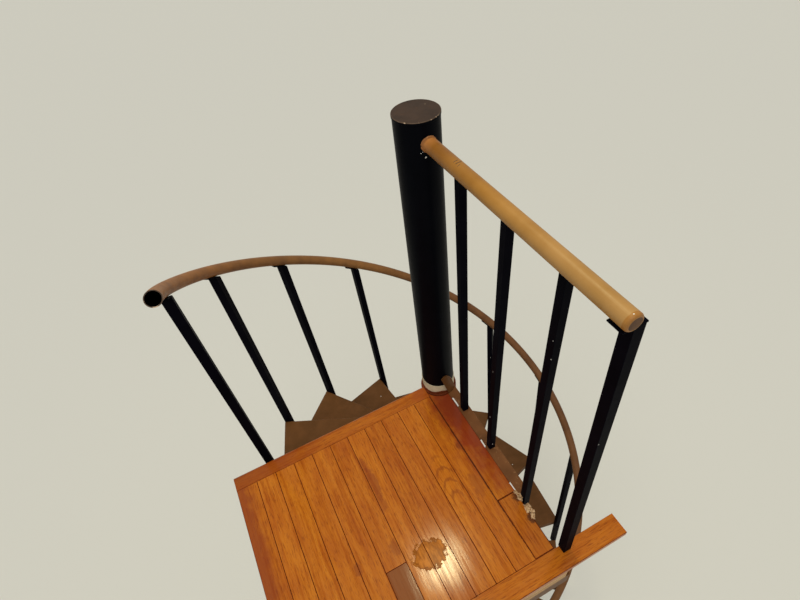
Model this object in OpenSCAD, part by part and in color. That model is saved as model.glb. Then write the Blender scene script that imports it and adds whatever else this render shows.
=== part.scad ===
// Spiral staircase seen from its landing: a round steel pole, twelve steel
// treads that wind down clockwise, square balusters, a helical tube handrail,
// and an oak floored landing with a straight guard.
// Origin: the pole's axis at the underside of the base plate. +Z is up.
// +Y runs along the landing's floor boards, from the doorway to the stair.

/* [Flight] */
// Height from one tread to the next
rise = 210; // [180:1:240]
// Number of steel treads between the lower floor and the landing
tread_count = 12; // [10:1:14]
// Treads that would fill one full turn
treads_per_turn = 13; // [11:1:16]
// Direction of the upper baluster's corner, seen from above
top_angle = 176.8; // [170:0.1:185]
// Reach of a tread's front corner from the pole's axis
tread_reach = 592; // [480:1:760]
// Thickness of a tread's top plate
tread_plate = 5; // [3:0.5:10]
// Depth of the lip that is folded down around a tread
tread_lip = 38; // [25:1:60]
// Thickness of that lip
lip_wall = 4; // [3:0.5:8]

/* [Pole] */
// Outer diameter of the pole
pole_d = 98; // [80:1:140]
// Wall of the pole
pole_wall = 5; // [3:0.5:10]
// Height of the pole's top over the landing's floor
pole_above = 920; // [850:1:1100]
// Thickness of the flat cap
cap_t = 7; // [3:0.5:15]
// How far the cap stands out beyond the pole
cap_lip = 1; // [0:0.5:5]
// Gap between the pole and everything that slides over it
slip_fit = 0.3; // [0.2:0.05:0.8]
// Wall of the hub sleeves around the pole
hub_wall = 7; // [4:0.5:15]

/* [Base] */
// Diameter of the base plate
base_d = 280; // [220:1:400]
// Thickness of the base plate
base_t = 12; // [8:1:25]
// Diameter of the circle on which the base bolts stand
base_pcd = 220; // [170:1:340]
// Diameter of a base bolt hole
base_hole = 14; // [10:0.5:20]
// Number of base bolts
base_bolts = 4; // [3:1:8]
// Height of the welded collar on the base plate
base_collar = 45; // [25:1:90]

/* [Stair rail] */
// Side of a square stair baluster
baluster_w = 23; // [16:0.5:40]
// Distance of a stair baluster's axis from the tread's outer end
baluster_inset = 12; // [12:0.5:40]
// Play between a baluster and the rear lip of the tread below it
baluster_play = 6; // [0.5:0.5:20]
// Angle from a tread's front corner to its baluster's head
head_turn = -0.4; // [-3:0.1:3]
// Distance of the handrail's axis inside the circle of the treads' corners
rail_in = 16; // [0:1:60]
// Sideways shift of the helix off the pole's axis, as it was fitted
coil_x = -8; // [-20:1:20]
// Shift of the helix along the floor boards
coil_y = 7; // [-20:1:20]
// Outer diameter of the rail tube
rail_d = 31.8; // [25:0.1:50]
// Wall of the rail tube
rail_wall = 1.8; // [1.2:0.1:4]
// Height of the handrail's axis over the line of the treads' corners
rail_height = 783.5; // [700:0.5:1000]
// Angle by which the handrail runs past its lowest baluster
rail_past_low = 5; // [1:0.5:12]
// Angle by which the handrail runs past its highest baluster
rail_past_top = 13.5; // [1:0.5:20]
// Angle over which the handrail flattens toward its upper end
flat_turn = 65; // [30:1:120]
// Drop of the handrail's upper end below a steady climb
flat_drop = 24; // [0:1:60]
// Length of the saddle plates under the handrail
saddle_len = 48; // [30:1:80]
// Thickness of the plates under both rails
saddle_t = 3; // [2:0.5:6]

/* [Landing] */
// Width of the landing from the wall to the pole's axis
landing_w = 685; // [560:1:900]
// Distance from the pole's axis back to the inner edge of the threshold
landing_depth = 584; // [480:1:800]
// Overhang of the landing's front edge past the pole's axis
front_past = 8.5; // [0:0.5:20]
// Thickness of the oak flooring
oak_t = 19; // [12:0.5:30]
// Thickness of the wooden layers under the oak
subfloor_t = 46; // [12:1:80]
// Thickness of the landing's steel plate
plate_t = 6; // [4:0.5:12]
// Depth of the lip around the landing's steel plate
plate_lip = 50; // [30:1:90]
// Width of the nosing board
nosing_w = 45.5; // [30:0.5:70]
// Width of one oak floor board
board_w = 57.15; // [40:0.05:90]
// Position of the oak's right edge
oak_right = 4; // [0:0.5:20]
// Right edge of the landing's steel plate
plate_right = 18; // [8:0.5:40]
// Width of the threshold board
threshold_w = 54; // [40:1:120]
// Distance by which the threshold board runs past the pole's axis
threshold_past = 185; // [60:1:260]

/* [Side strip] */
// Right edge of the steel strip beside the oak
strip_right = 37; // [25:0.5:60]
// Thickness of the steel strip
strip_t = 6; // [4:0.5:12]
// Distance from the pole's axis to the strip's rear end
strip_end = 430; // [300:1:560]
// Height of the pale ring that closes the gap at the foot of the pole
ring_h = 7; // [3:0.5:20]
// Wall of the pale ring
ring_wall = 5; // [3:0.5:12]

/* [Guard] */
// Height of the guard rail's axis over the landing's floor
guard_h = 871; // [750:1:1100]
// Distance by which the guard rail runs past the end post's head
guard_past = 16.5; // [0:0.5:80]
// Side of a square guard baluster
guard_w = 18; // [14:0.5:30]
// Sideways distance of the balusters from the line of the guard rail
guard_out = 20; // [12:0.5:28]
// Distance of the first guard baluster's foot from the pole's axis
guard_first = 128.5; // [100:0.5:200]
// Distance between the feet of the first and the second guard baluster
guard_second = 145; // [100:1:200]
// Gap between the strip's rear end and the third guard baluster
guard_gap = 1; // [0.5:0.5:20]
// Lean of the first and the third guard baluster, away from the pole
guard_lean = 3.5; // [0:0.5:40]
// Lean of the second guard baluster, away from the pole
second_lean = 15; // [0:0.5:40]
// How far a head plate stands out beyond its bar
plate_edge = 1; // [0.5:0.5:4]
// How far a baluster's head plate reaches past the line of the guard rail
plate_in = 4; // [1:0.5:12]
// Side of the square end post
post_w = 22; // [18:0.5:50]
// Distance of the end post's foot behind the threshold board's inner edge
post_set = 8.5; // [0:0.5:40]
// Lean of the end post, toward the pole
post_lean = 18; // [0:0.5:60]
// Sideways distance of the post's foot from the line of the guard rail
post_out = 27; // [12:0.5:40]
// Sideways distance of the post's head from that line
head_out = 20; // [12:0.5:40]
// How far the post's head plate stands out toward the pole
end_ahead = 6.5; // [1:0.5:30]
// How far the post's head plate reaches past the line of the guard rail
end_in = 13; // [1:0.5:20]

/* [Hidden] */
$fa = 4;
$fs = 2.5;
step = 360 / treads_per_turn;
plate_z = rise * (tread_count + 1);
floor_z = plate_z + subfloor_t + oak_t;
pole_top = floor_z + pole_above;
pole_r = pole_d / 2;
bore_r = pole_r + slip_fit;
hub_r = bore_r + hub_wall;
half_in = pole_r;
rail_r = rail_d / 2;
rail_reach = tread_reach - rail_in;
guard_z = floor_z + guard_h;
post_foot = landing_depth + post_set;
post_head = post_foot - post_lean;
guard_len = post_head + guard_past;
third_foot = strip_end + guard_gap + guard_w / 2;
// How far a cutting solid runs past the faces it opens
cut = 1;
// Angle by which a tread's straight edge leans off the radius
lean = asin(half_in / tread_reach);
// Width left for the baluster between one tread and the next
bal_gap = baluster_w + baluster_play + (baluster_inset + baluster_w / 2) * sin(2 * lean);
tread_angle = step - bal_gap / tread_reach * 180 / PI;
// Plan of a tread, its front corner on the X axis
front_tip = [tread_reach, 0];
rear_tip = tread_reach * [cos(tread_angle), sin(tread_angle)];
tread_plan = [
    half_in * [cos(lean - 90), sin(lean - 90)],
    front_tip,
    rear_tip,
    half_in * [cos(tread_angle - lean + 90), sin(tread_angle - lean + 90)]
];
// Foot of a baluster's axis, against the front lip of its tread
edge_in = [-cos(lean), -sin(lean)];
edge_down = [sin(lean), -cos(lean)];
bal_foot = front_tip + baluster_inset * edge_in + baluster_w / 2 * edge_down;
rail_slope = rise / step;
rail_top = top_angle + rail_past_top;
rail_low = top_angle + head_turn - tread_count * step - rail_past_low;
rail_sides = 16;
rail_steps = 54;

// Moves each side of a convex outline inwards
function unit(v) = v / norm(v);
function inward(v) = [-v[1], v[0]];
function quad(a, b, c, d) = [[a, b, c], [a, c, d]];
function inset(p, d) = [
    for (i = [0:len(p) - 1])
        let (n1 = inward(unit(p[i] - p[(i + len(p) - 1) % len(p)])),
             n2 = inward(unit(p[(i + 1) % len(p)] - p[i])))
        p[i] + d * (n1 + n2) / (1 + n1 * n2)
];
// Direction of tread k's front corner; k counts down from the landing
function corner_angle(k) = top_angle - k * step;
// Height of tread k's top
function tread_z(k) = plate_z - k * rise;
// Share of the flattened stretch that lies below a direction
function flat_part(a) = max(0, 1 - (rail_top - a) / flat_turn);
// Height of the handrail's axis at a direction
function rail_z(a) = plate_z + rail_height + rail_slope * (a - top_angle)
    - flat_drop * flat_part(a) * flat_part(a);
// Angle at which the handrail climbs there
function rail_pitch(a) = atan((rail_slope - 2 * flat_drop * flat_part(a) / flat_turn)
    * 180 / PI / rail_reach);
// Point of the handrail's axis there
function rail_mid(a) = [coil_x + rail_reach * cos(a), coil_y + rail_reach * sin(a), rail_z(a)];
function turned(v, a) = [v[0] * cos(a) - v[1] * sin(a), v[0] * sin(a) + v[1] * cos(a)];

module sleeve(h, r_out, r_in) {
    difference() {
        cylinder(h = h, r = r_out);
        translate([0, 0, -cut])
            cylinder(h = h + 2 * cut, r = r_in);
    }
}

module base_plate() {
    color([0.05, 0.05, 0.06])
    difference() {
        union() {
            cylinder(h = base_t, d = base_d);
            translate([0, 0, base_t])
                cylinder(h = base_collar, r = hub_r);
        }
        translate([0, 0, base_t])
            cylinder(h = base_collar + cut, r = bore_r);
        for (i = [0:base_bolts - 1])
            rotate(45 + i * 360 / base_bolts)
                translate([base_pcd / 2, 0, -cut])
                    cylinder(h = base_t + 2 * cut, d = base_hole);
    }
}

module center_pole() {
    color([0.03, 0.03, 0.05])
    translate([0, 0, base_t])
        sleeve(pole_top - cap_t - base_t, pole_r, pole_r - pole_wall);
}

module pole_cap() {
    color([0.31, 0.24, 0.2])
    translate([0, 0, pole_top - cap_t])
        cylinder(h = cap_t, r = pole_r + cap_lip);
}

// Sleeves between the treads' hubs, which carry each tread on the one below
module hub_spacers() {
    color([0.33, 0.22, 0.13]) {
        translate([0, 0, base_t + base_collar])
            sleeve(tread_z(tread_count) - tread_lip - base_t - base_collar, hub_r, bore_r);
        for (k = [1:tread_count - 1])
            translate([0, 0, tread_z(k + 1)])
                sleeve(rise - tread_lip, hub_r, bore_r);
        translate([0, 0, tread_z(1)])
            sleeve(rise - plate_t - plate_lip, hub_r, bore_r);
    }
}

// One tread: a folded steel pan with its hub
module tread(k) {
    color([0.37, 0.24, 0.14])
    translate([0, 0, tread_z(k) - tread_lip])
        rotate(corner_angle(k))
            difference() {
                union() {
                    difference() {
                        linear_extrude(tread_lip)
                            polygon(tread_plan);
                        translate([0, 0, -cut])
                            linear_extrude(tread_lip - tread_plate + cut)
                                polygon(inset(tread_plan, lip_wall));
                    }
                    cylinder(h = tread_lip, r = hub_r);
                }
                translate([0, 0, -cut])
                    cylinder(h = tread_lip + 2 * cut, r = bore_r);
            }
}

// Frame of the handrail's underside: X outwards, Y up along the rail
module at_rail(a) {
    translate(rail_mid(a))
        rotate(a)
            rotate([rail_pitch(a), 0, 0])
                translate([0, 0, -rail_r])
                    children();
}

// One stair baluster, from the rear lip of the tread below up to the handrail
module baluster(k) {
    low = k == tread_count ? 0 : tread_z(k + 1) - tread_lip;
    a = corner_angle(k) + head_turn;
    foot = turned(bal_foot, corner_angle(k));
    head = rail_mid(a);
    span = head[2] - tread_z(k);
    tilt = [(head[0] - foot[0]) / span, (head[1] - foot[1]) / span];
    reach = plate_z + rise;
    color([0.04, 0.04, 0.06]) {
        intersection() {
            multmatrix([
                [1, 0, tilt[0], foot[0] - tilt[0] * tread_z(k)],
                [0, 1, tilt[1], foot[1] - tilt[1] * tread_z(k)],
                [0, 0, 1, 0],
                [0, 0, 0, 1]])
                translate([0, 0, low])
                    rotate(corner_angle(k) + lean)
                        translate([-baluster_w / 2, -baluster_w / 2, 0])
                            cube([baluster_w, baluster_w, head[2] - low]);
            at_rail(a)
                translate([-reach, -reach, -2 * reach - saddle_t / 2])
                    cube([2 * reach, 2 * reach, 2 * reach]);
        }
        at_rail(a)
            translate([-baluster_w / 2, -saddle_len / 3, -saddle_t])
                cube([baluster_w, saddle_len, saddle_t]);
    }
}

// Tube that follows the helix, open at both ends
module handrail() {
    rings = [
        for (i = [0:rail_steps])
            let (a = rail_low + (rail_top - rail_low) * i / rail_steps,
                 out = [cos(a), sin(a), 0],
                 p = rail_pitch(a),
                 along = [-sin(a) * cos(p), cos(a) * cos(p), sin(p)],
                 up = cross(out, along),
                 mid = rail_mid(a))
            [for (r = [rail_r, rail_r - rail_wall])
                [for (j = [0:rail_sides - 1])
                    let (t = (j + 0.5) * 360 / rail_sides)
                    mid + r / cos(180 / rail_sides) * (cos(t) * out + sin(t) * up)]]
    ];
    pts = [for (g = rings) for (c = g) for (p = c) p];
    row = 2 * rail_sides;
    faces = concat(
        [for (i = [0:rail_steps - 1]) for (j = [0:rail_sides - 1])
            let (n = (j + 1) % rail_sides, b = i * row)
            each quad(b + j, b + row + j, b + row + n, b + n)],
        [for (i = [0:rail_steps - 1]) for (j = [0:rail_sides - 1])
            let (n = (j + 1) % rail_sides, b = i * row + rail_sides)
            each quad(b + n, b + row + n, b + row + j, b + j)],
        [for (j = [0:rail_sides - 1])
            let (n = (j + 1) % rail_sides)
            each quad(j, n, rail_sides + n, rail_sides + j)],
        [for (j = [0:rail_sides - 1])
            let (n = (j + 1) % rail_sides, b = rail_steps * row)
            each quad(b + rail_sides + j, b + rail_sides + n, b + n, b + j)]
    );
    color([0.7, 0.5, 0.22])
        polyhedron(points = pts, faces = faces, convexity = 8);
}

// Steel landing: a folded plate with a hub, its lip turned down all round
module landing_frame() {
    rear = landing_depth + threshold_w;
    color([0.37, 0.24, 0.14])
    translate([0, 0, plate_z - plate_t - plate_lip])
        difference() {
            union() {
                difference() {
                    translate([-landing_w, -rear, 0])
                        cube([landing_w + plate_right, rear + front_past, plate_t + plate_lip]);
                    translate([lip_wall - landing_w, lip_wall - rear, -cut])
                        cube([landing_w + plate_right - 2 * lip_wall,
                            rear + front_past - 2 * lip_wall, plate_lip + cut]);
                }
                cylinder(h = plate_t + plate_lip, r = hub_r);
            }
            translate([0, 0, -cut])
                cylinder(h = plate_t + plate_lip + 2 * cut, r = bore_r);
        }
}

// Wooden layers between the steel plate and the oak
module landing_subfloor() {
    color([0.62, 0.48, 0.32])
    translate([0, 0, plate_z])
        difference() {
            union() {
                translate([-landing_w, -landing_depth - threshold_w, 0])
                    cube([landing_w + oak_right, landing_depth + threshold_w + front_past - lip_wall,
                        subfloor_t]);
                translate([-pole_r, -strip_end, 0])
                    cube([pole_r + plate_right, strip_end, subfloor_t]);
            }
            translate([0, 0, -cut])
                cylinder(h = subfloor_t + 2 * cut, r = hub_r + slip_fit);
        }
}

module landing_deck() {
    color([0.7, 0.38, 0.11])
    translate([0, 0, floor_z - oak_t])
        difference() {
            union() {
                translate([-landing_w, -landing_depth, 0])
                    cube([landing_w + oak_right, landing_depth + front_past - nosing_w, oak_t]);
                translate([oak_right - board_w, -landing_depth, 0])
                    cube([board_w, landing_depth, oak_t]);
            }
            translate([0, 0, -cut])
                cylinder(h = oak_t + 2 * cut, r = hub_r + slip_fit);
        }
}

// Nosing board with a rounded front edge
module nosing_board() {
    round_r = oak_t / 2;
    len_x = landing_w + oak_right - board_w;
    color([0.7, 0.38, 0.11])
    translate([-landing_w, front_past - nosing_w, floor_z - oak_t])
        rotate([90, 0, 90])
            linear_extrude(len_x)
                union() {
                    square([nosing_w - round_r, oak_t]);
                    translate([nosing_w - round_r, round_r])
                        circle(r = round_r);
                }
}

module threshold_board() {
    color([0.66, 0.36, 0.12])
    translate([-landing_w, -landing_depth - threshold_w, floor_z - oak_t])
        cube([landing_w + threshold_past, threshold_w, oak_t]);
}

// Steel angle beside the oak, with a rounded lug at the pole
module side_strip() {
    lug_r = strip_right - oak_right;
    color([0.5, 0.36, 0.24])
    difference() {
        union() {
            translate([oak_right, -strip_end, floor_z - strip_t])
                cube([strip_right - oak_right, strip_end - lug_r, strip_t]);
            translate([oak_right, -lug_r, floor_z - strip_t])
                cylinder(h = strip_t, r = lug_r);
            translate([plate_right, -strip_end, plate_z - plate_t - plate_lip])
                cube([strip_t, strip_end - pole_r / 2, plate_t + plate_lip + floor_z - plate_z]);
        }
        translate([0, 0, plate_z - plate_lip - 2 * plate_t])
            cylinder(h = floor_z - plate_z + plate_lip + 3 * plate_t, r = hub_r + slip_fit);
        translate([oak_right - lug_r - cut, -lug_r - strip_end, floor_z - strip_t - cut])
            cube([lug_r + cut, lug_r + strip_end + lug_r, strip_t + 2 * cut]);
    }
}

// Brown collar under the pole's foot, closed by a pale ring
module foot_ring() {
    color([0.6, 0.55, 0.46])
    translate([0, 0, plate_z])
        sleeve(subfloor_t + oak_t - ring_h, hub_r, bore_r);
    color([0.7, 0.66, 0.58])
    translate([0, 0, floor_z - ring_h])
        sleeve(ring_h, bore_r + ring_wall, bore_r);
}

// Straight tube between the pole and the guard's end post, closed at its end
module guard_rail() {
    color([0.7, 0.5, 0.22])
    difference() {
        translate([0, 0, guard_z])
            rotate([90, 0, 0])
                difference() {
                    cylinder(h = guard_len, r = rail_r);
                    translate([0, 0, -cut])
                        cylinder(h = guard_len + cut - rail_wall, r = rail_r - rail_wall);
                }
        translate([0, 0, guard_z - rail_d])
            cylinder(h = 2 * rail_d, r = pole_r);
    }
}

// Flat plate that carries the guard rail beside the head of a bar at x, y
module guard_saddle(w, x, y, ahead, inner) {
    translate([-inner, y - w / 2 - plate_edge, guard_z - rail_r - saddle_t])
        cube([inner + x + w / 2 + plate_edge, w + plate_edge + ahead, saddle_t]);
}

// Square bar from its foot at a and the height low up into its head plate at b
module guard_bar(w, a, b, low) {
    tall = guard_z - rail_r - saddle_t / 2 - low;
    translate([a[0], a[1], low])
        multmatrix([[1, 0, (b[0] - a[0]) / tall, 0],
            [0, 1, (b[1] - a[1]) / tall, 0],
            [0, 0, 1, 0],
            [0, 0, 0, 1]])
            translate([-w / 2, -w / 2, 0])
                cube([w, w, tall]);
}

module guard_baluster(foot, low, back) {
    color([0.03, 0.03, 0.05]) {
        guard_bar(guard_w, [guard_out, -foot], [guard_out, -foot - back], low);
        guard_saddle(guard_w, guard_out, -foot - back, plate_edge, plate_in);
    }
}

module guard_end_post() {
    color([0.03, 0.03, 0.05]) {
        guard_bar(post_w, [post_out, -post_foot], [head_out, -post_head], floor_z);
        guard_saddle(post_w, head_out, -post_head, end_ahead, end_in);
    }
}

base_plate();
center_pole();
pole_cap();
hub_spacers();
tread(1);  // tread_01
tread(2);  // tread_02
tread(3);  // tread_03
tread(4);  // tread_04
tread(5);  // tread_05
tread(6);  // tread_06
tread(7);  // tread_07
tread(8);  // tread_08
tread(9);  // tread_09
tread(10);  // tread_10
tread(11);  // tread_11
tread(12);  // tread_12
baluster(0);  // baluster_00
baluster(1);  // baluster_01
baluster(2);  // baluster_02
baluster(3);  // baluster_03
baluster(4);  // baluster_04
baluster(5);  // baluster_05
baluster(6);  // baluster_06
baluster(7);  // baluster_07
baluster(8);  // baluster_08
baluster(9);  // baluster_09
baluster(10);  // baluster_10
baluster(11);  // baluster_11
baluster(12);  // baluster_12
handrail();
landing_frame();
landing_subfloor();
landing_deck();
nosing_board();
threshold_board();
side_strip();
foot_ring();
guard_rail();
guard_baluster(guard_first, floor_z, guard_lean);  // guard_baluster_1
guard_baluster(guard_first + guard_second, floor_z, second_lean);  // guard_baluster_2
guard_baluster(third_foot, plate_z, guard_lean);  // guard_baluster_3
guard_end_post();
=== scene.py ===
"""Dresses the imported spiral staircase: enamelled steel, varnished oak, fastenings, studio and camera."""

import logging
import math
import random
from collections.abc import Callable, Mapping, Sequence
from dataclasses import dataclass, field
from enum import Enum

import bmesh
import bpy
from mathutils import Matrix, Vector, noise


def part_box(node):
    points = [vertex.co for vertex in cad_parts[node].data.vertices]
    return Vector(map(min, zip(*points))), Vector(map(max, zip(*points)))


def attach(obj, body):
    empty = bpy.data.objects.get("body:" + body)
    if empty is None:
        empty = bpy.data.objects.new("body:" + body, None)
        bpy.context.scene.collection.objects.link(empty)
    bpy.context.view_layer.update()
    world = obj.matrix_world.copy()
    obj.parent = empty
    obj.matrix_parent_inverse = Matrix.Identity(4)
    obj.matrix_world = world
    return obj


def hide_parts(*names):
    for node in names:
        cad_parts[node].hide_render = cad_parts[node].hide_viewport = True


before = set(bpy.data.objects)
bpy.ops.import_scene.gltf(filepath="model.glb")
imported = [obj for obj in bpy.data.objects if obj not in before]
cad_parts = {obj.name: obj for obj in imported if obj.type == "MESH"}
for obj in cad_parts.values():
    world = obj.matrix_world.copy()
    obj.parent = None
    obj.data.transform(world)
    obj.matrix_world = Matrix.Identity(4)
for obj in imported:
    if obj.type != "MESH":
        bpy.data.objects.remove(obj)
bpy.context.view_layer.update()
LOG = logging.getLogger("spiral_stair")

Tree = bpy.types.NodeTree
Socket = bpy.types.NodeSocket
Inputs = Mapping[str | int, object]
Paint = bpy.types.Material
Piece = bpy.types.Object
Shape = bmesh.types.BMesh
Edge = bmesh.types.BMEdge
Vert = bmesh.types.BMVert
Triple = tuple[float, float, float]

# The flight as the solids have it, in metres and degrees.
RISE = 0.210
TREADS = 12
STEP = 360 / 13
TOP_ANGLE = 176.8
LANDING_TOP = 2.795
PLATE_TOP = 2.730
TREAD_LIP = 0.038
HALF_IN = 0.049
TREAD_REACH = 0.592
LEAN = math.degrees(math.asin(HALF_IN / TREAD_REACH))
POLE_RADIUS = 0.049
GUARD_Z = 3.666
GUARD_END = 0.591
TUBE_RADIUS = 0.0159
BOARD = 0.05715
FIRST_SEAM = -0.05315
OAK_RIGHT = 0.004

# Points nearer than this are one, and faces that turn less than this are one flat face.
MERGE = 0.01e-3
FLAT = math.radians(0.5)
# Edges that turn more than this are rounded.
SHARP = math.radians(40)
# The marks that each oak board carries: its tone, how far its grain is slid, and how red its varnish is.
BOARD_MARKS = ("tone", "shift", "red")
# How a Mix node lays one colour over another, and how it tints one by another.
OVER = {"data_type": "RGBA", "out": 2}
TINT = {**OVER, "blend_type": "MULTIPLY"}


def mm(value: float) -> float:
    """Returns millimetres as metres."""
    return value / 1000


def srgb(code: str) -> tuple[float, float, float, float]:
    """Turns an sRGB hex colour into the linear colour that Blender's sockets take.

    Args:
        code: The colour as "#rrggbb".

    Returns:
        Red, green, blue and an alpha of 1.
    """
    parts = [int(code[i:i + 2], 16) / 255 for i in (1, 3, 5)]
    linear = [c / 12.92 if c <= 0.04045 else ((c + 0.055) / 1.055) ** 2.4 for c in parts]
    return (linear[0], linear[1], linear[2], 1.0)


def feed(tree: Tree, node: bpy.types.Node, inputs: Inputs) -> None:
    """Sets a node's inputs.

    Args:
        tree: The node tree.
        node: The node.
        inputs: Input name or index to the socket that feeds it, or to a plain value.
    """
    for key, value in inputs.items():
        if isinstance(value, Socket):
            tree.links.new(value, node.inputs[key])
        else:
            node.inputs[key].default_value = value


def add(tree: Tree, kind: str, inputs: Inputs | None = None, stops: Sequence | None = None, out: int | str = 0,
        **settings: object) -> Socket:
    """Adds one node with its settings and links.

    Args:
        tree: The node tree.
        kind: The node's type name, without "ShaderNode".
        inputs: What its inputs get.
        stops: Positions and hex colours, for a colour ramp.
        out: The output that is wanted.
        **settings: Properties of the node.

    Returns:
        That output of the new node.
    """
    made = tree.nodes.new("ShaderNode" + kind)
    for name, value in settings.items():
        setattr(made, name, value)
    feed(tree, made, inputs or {})
    if stops:
        band = made.color_ramp.elements
        while len(band) < len(stops):
            band.new(0.5)
        for stop, (place, code) in zip(band, stops):
            stop.position = place
            stop.color = srgb(code)
    return made.outputs[out]


class Along(Enum):
    """The direction in which a board's grain runs."""

    X = 0
    Y = 1


@dataclass(frozen=True)
class Finish:
    """A procedural finish. Each kind says what its shader gets."""

    title: str

    def material(self) -> Paint:
        """Builds the finish.

        Returns:
            The material.
        """
        made = bpy.data.materials.new(self.title)
        made.use_nodes = True
        tree = made.node_tree
        feed(tree, tree.nodes["Principled BSDF"], self.shade(tree, add(tree, "TexCoord", out="Object")))
        return made

    def shade(self, tree: Tree, place: Socket) -> Inputs:
        """Adds the finish's own nodes and returns what the shader's inputs get."""
        raise NotImplementedError


@dataclass(frozen=True)
class Enamel(Finish):
    """Alkyd enamel brushed on steel: an even coat with soft clouds, brush marks, rubbed places and stray flecks."""

    colour: str
    deep: str
    rubbed: str
    roughness: float
    specular: float
    fleck: str = ""
    fleck_share: float = 0.10
    rubbed_from: float = 0.68
    cloud_mm: float = 70.0
    fleck_mm: float = 26.0
    fleck_radius: float = 0.07
    peel: float = 0.08
    painted_light_ramp: tuple[tuple[float, str], ...] = ()
    painted_light_axis: int = 1
    painted_light_span: tuple[float, float] = (0.0, -600.0)

    def shade(self, tree: Tree, place: Socket) -> Inputs:
        """Adds the coat's nodes.

        Args:
            tree: The material's node tree.
            place: The socket that gives the place.

        Returns:
            What the shader's inputs get.
        """
        clouds = add(tree, "TexNoise", {"Vector": place, "Scale": 1 / mm(self.cloud_mm), "Detail": 5.0,
                                        "Roughness": 0.6})
        coat = add(tree, "ValToRGB", {"Fac": clouds}, [(0.32, self.deep), (0.62, self.colour)])
        # Hands and shoes rub the coat in patches about 15 mm across.
        rub = add(tree, "TexNoise", {"Vector": place, "Scale": 1 / mm(15), "Detail": 6.0, "Roughness": 0.7})
        bare = add(tree, "MapRange", {"Value": rub, "From Min": self.rubbed_from, "From Max": self.rubbed_from + 0.05})
        coat = add(tree, "Mix", {0: bare, 6: coat, 7: srgb(self.rubbed)}, **OVER)
        if self.painted_light_ramp:
            # Painted light and shade along the tube: a colour ramp makes the coat darker where shade fell and paler
            # where light fell.
            axis = add(tree, "SeparateXYZ", {"Vector": place}, out=self.painted_light_axis)
            along = add(tree, "MapRange", {"Value": axis, "From Min": mm(self.painted_light_span[0]),
                                           "From Max": mm(self.painted_light_span[1])})
            coat = add(tree, "Mix", {0: 1.0, 6: coat, 7: add(tree, "ValToRGB", {"Fac": along}, self.painted_light_ramp)}, **TINT)
        if self.fleck:
            # Stray flecks of wall paint, 1 to 3 mm across, on some cells only.
            cells = add(tree, "TexVoronoi", {"Vector": place, "Scale": 1 / mm(self.fleck_mm)})
            lot, width = add(tree, "SeparateColor", {"Color": cells.node.outputs["Color"]}).node.outputs[:2]
            some = add(tree, "Math", {0: lot, 1: self.fleck_share}, operation="LESS_THAN")
            size = add(tree, "Math", {0: width, 1: self.fleck_radius}, operation="MULTIPLY")
            near = add(tree, "Math", {0: cells, 1: size}, operation="LESS_THAN")
            spot = add(tree, "Math", {0: some, 1: near}, operation="MULTIPLY")
            coat = add(tree, "Mix", {0: spot, 6: coat, 7: srgb(self.fleck)}, **OVER)
        # Brush marks and orange peel, drawn 3 mm wide so that they show.
        marks = add(tree, "TexNoise", {"Vector": place, "Scale": 1 / mm(3), "Detail": 3.0})
        return {
            "Base Color": coat,
            "Roughness": add(tree, "MapRange", {"Value": rub, "To Min": self.roughness - 0.10,
                                                "To Max": self.roughness + 0.14}),
            "Specular IOR Level": self.specular,
            "Normal": add(tree, "Bump", {"Height": marks, "Strength": self.peel, "Distance": mm(0.5)}),
        }


@dataclass(frozen=True)
class Stain:
    """A soft ragged spot on a level floor, with its middle and half sizes in millimetres."""

    x: float
    y: float
    half_x: float
    half_y: float
    colour: str
    strength: float
    rough: float = 12.0
    soft: float = 0.5

    def share(self, tree: Tree, place: Socket) -> Socket:
        """Adds the nodes that say how much of the stain a place shows.

        Args:
            tree: The node tree.
            place: The socket that gives the place.

        Returns:
            The share, from 0 to the stain's strength.
        """
        flat = add(tree, "Mapping", {"Vector": place, "Location": (-self.x / self.half_x, -self.y / self.half_y, 0.0),
                                     "Scale": (1 / mm(self.half_x), 1 / mm(self.half_y), 0.0)})
        far = add(tree, "VectorMath", {0: flat}, out="Value", operation="LENGTH")
        edge = add(tree, "TexNoise", {"Vector": place, "Scale": 1 / mm(self.rough), "Detail": 5.0})
        # Half of the noise is 0.65 here, so that the stain's rim lies at 1.65.
        ragged = add(tree, "Math", {0: edge, 1: 1.3, 2: far}, operation="MULTIPLY_ADD")
        return add(tree, "MapRange", {"Value": ragged, "From Min": 1.65 + self.soft / 2,
                                      "From Max": 1.65 - self.soft / 2, "To Max": self.strength})


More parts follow.
